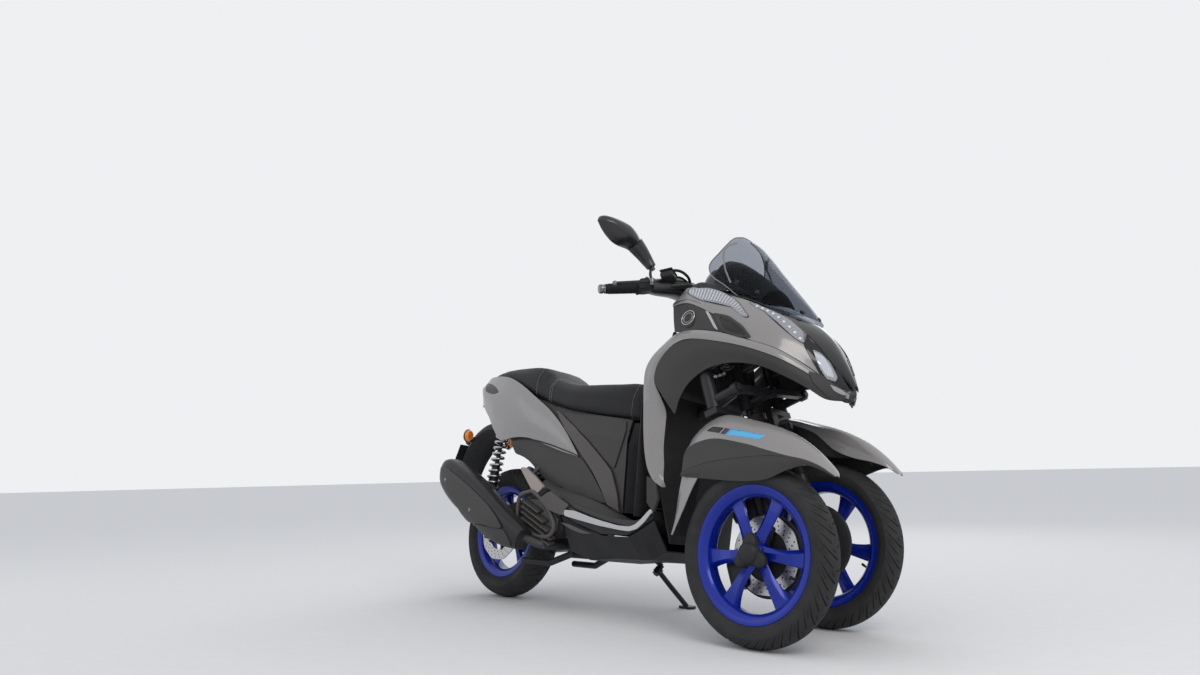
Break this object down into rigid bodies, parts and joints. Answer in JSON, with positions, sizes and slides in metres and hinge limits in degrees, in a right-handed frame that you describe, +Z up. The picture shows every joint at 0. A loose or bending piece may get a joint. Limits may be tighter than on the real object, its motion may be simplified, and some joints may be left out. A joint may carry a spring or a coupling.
{
  "type": "leaning three-wheeled scooter",
  "caption": "Scooter with paired leaning front wheels on a tilting linkage, bladed blue rims, tall smoke windscreen, padded seat and low floor, parked on its side stand.",
  "frame": {"origin": "middle of the bounding box on the floor, with the machine leaning onto its side stand", "axes": "+X forward along the machine, +Y to the rider's left, +Z up from the floor; the body leans 8 degrees towards +Y"},
  "size_m": [1.9717, 0.7978, 1.3603],
  "materials": {
    "black_plastic": "black textured plastic",
    "dark_grey_panel": "dark grey panel, matte",
    "dark_metal": "dark grey cast housing",
    "black_paint": "black painted steel, satin",
    "pale_panel": "warm pale grey moulded panel, gloss",
    "black_rubber": "black grip rubber",
    "lamp_glass": "clear lamp cover",
    "bare_steel": "bare steel",
    "blue_rim": "blue gloss paint",
    "tyre": "black tyre rubber",
    "amber_lens": "amber lens",
    "seat_vinyl": "black grained seat cover",
    "red_lens": "red lens",
    "smoke_screen": "smoke tinted clear screen"
  },
  "bodies": {
    "chassis": {"arch_liner": "black_plastic", "arch_trim": "dark_grey_panel", "belt_case": "dark_metal", "engine_block": "dark_metal", "exhaust_pipe": "dark_metal", "floor": "black_plastic", "frame": "black_paint", "front_cowl": "pale_panel", "grab_rail": "black_plastic", "headlamps": "lamp_glass", "inner_shield": "black_plastic", "leg_shields": "pale_panel", "luggage_tub": "black_plastic", "meter": "black_plastic", "radiator_cover": "black_plastic", "rear_arm": "dark_metal", "rear_indicators": "amber_lens", "rear_mudguard": "black_plastic", "rear_shocks": "bare_steel", "screen_base": "pale_panel", "seat_box_cover": "black_plastic", "seat_hinge_bracket": "black_paint", "side_covers": "dark_grey_panel", "silencer": "black_paint", "tail_cowls": "pale_panel", "tail_lamp": "red_lens", "under_cover": "black_plastic", "windscreen": "smoke_screen"},
    "upper_arm": {"upper_arm": "black_paint"},
    "lower_arm": {"lower_arm": "black_paint"},
    "handlebar": {"handlebar": "black_paint", "grips": "black_rubber", "controls": "black_plastic", "mirrors": "black_plastic"},
    "rear_wheel": {"rear_tyre": "tyre", "rear_rim": "blue_rim", "rear_disc": "bare_steel"},
    "seat": {"seat": "seat_vinyl", "seat_hinge_leaf": "black_paint"},
    "side_stand": {"side_stand": "black_paint"},
    "centre_stand": {"centre_stand": "black_paint"},
    "right_upright": {"right_upright": "black_paint"},
    "right_fork": {"right_fork": "black_paint", "right_mudguard": "pale_panel"},
    "right_front_wheel": {"right_front_tyre": "tyre", "right_front_rim": "blue_rim", "right_front_disc": "bare_steel"},
    "left_upright": {"left_upright": "black_paint"},
    "left_fork": {"left_fork": "black_paint", "left_mudguard": "pale_panel"},
    "left_front_wheel": {"left_front_tyre": "tyre", "left_front_rim": "blue_rim", "left_front_disc": "bare_steel"}
  },
  "joints": [
    {"name": "tilt", "type": "hinge", "parent": "chassis", "child": "upper_arm", "pos_m": [0.50165, -0.04229, 0.79894], "axis": [0.9397, 0.0476, 0.3387], "range_deg": [-45.2, 28.2]},
    {"name": "tilt_lower", "type": "hinge", "parent": "chassis", "child": "lower_arm", "pos_m": [0.54133, -0.05746, 0.69099], "axis": [0.9397, 0.0476, 0.3387], "range_deg": [-45.3, 28.3]},
    {"name": "steer", "type": "hinge", "parent": "chassis", "child": "handlebar", "pos_m": [0.51773, -0.04844, 0.7552], "axis": [-0.342, 0.1308, 0.9305], "range_deg": [-32, 32]},
    {"name": "right_upright_pivot", "type": "hinge", "parent": "upper_arm", "child": "right_upright", "pos_m": [0.51139, -0.23455, 0.79894], "axis": [0.9397, 0.0476, 0.3387], "range_deg": [-28.3, 45.3]},
    {"name": "right_steer", "type": "hinge", "parent": "right_upright", "child": "right_fork", "pos_m": [0.52747, -0.24069, 0.7552], "axis": [-0.342, 0.1308, 0.9305], "range_deg": [-32.1, 32.1]},
    {"name": "right_front_wheel_spin", "type": "hinge", "parent": "right_fork", "child": "right_front_wheel", "pos_m": [0.73587, -0.31197, 0.24805], "axis": [0, 0.9903, -0.1392], "continuous": true},
    {"name": "left_upright_pivot", "type": "hinge", "parent": "upper_arm", "child": "left_upright", "pos_m": [0.49192, 0.14996, 0.79894], "axis": [0.9397, 0.0476, 0.3387], "range_deg": [-28.3, 45.3]},
    {"name": "left_steer", "type": "hinge", "parent": "left_upright", "child": "left_fork", "pos_m": [0.50799, 0.14381, 0.7552], "axis": [-0.342, 0.1308, 0.9305], "range_deg": [-32.1, 32.1]},
    {"name": "left_front_wheel_spin", "type": "hinge", "parent": "left_fork", "child": "left_front_wheel", "pos_m": [0.71639, 0.07254, 0.24805], "axis": [0, 0.9903, -0.1392], "continuous": true},
    {"name": "rear_wheel_spin", "type": "hinge", "parent": "chassis", "child": "rear_wheel", "pos_m": [-0.62387, -0.11885, 0.25419], "axis": [0, 0.9903, -0.1392], "continuous": true},
    {"name": "seat_hinge", "type": "hinge", "parent": "chassis", "child": "seat", "pos_m": [0.17813, -0.06578, 0.63179], "axis": [0, 0.9903, -0.1392], "range_deg": [0, 45]},
    {"name": "side_stand_hinge", "type": "hinge", "parent": "chassis", "child": "side_stand", "pos_m": [0.08613, -0.01643, 0.13509], "axis": [0.1037, 0.784, 0.612], "range_deg": [0, 95]},
    {"name": "centre_stand_hinge", "type": "hinge", "parent": "chassis", "child": "centre_stand", "pos_m": [-0.14187, -0.12869, 0.18419], "axis": [0, -0.9903, 0.1392], "range_deg": [0, 95]}
  ],
  "couplings": [
    {"joint": "tilt_lower", "follows": "tilt", "ratio": 1},
    {"joint": "right_upright_pivot", "follows": "tilt", "ratio": -1},
    {"joint": "right_steer", "follows": "steer", "ratio": 1},
    {"joint": "left_upright_pivot", "follows": "tilt", "ratio": -1},
    {"joint": "left_steer", "follows": "steer", "ratio": 1}
  ]
}
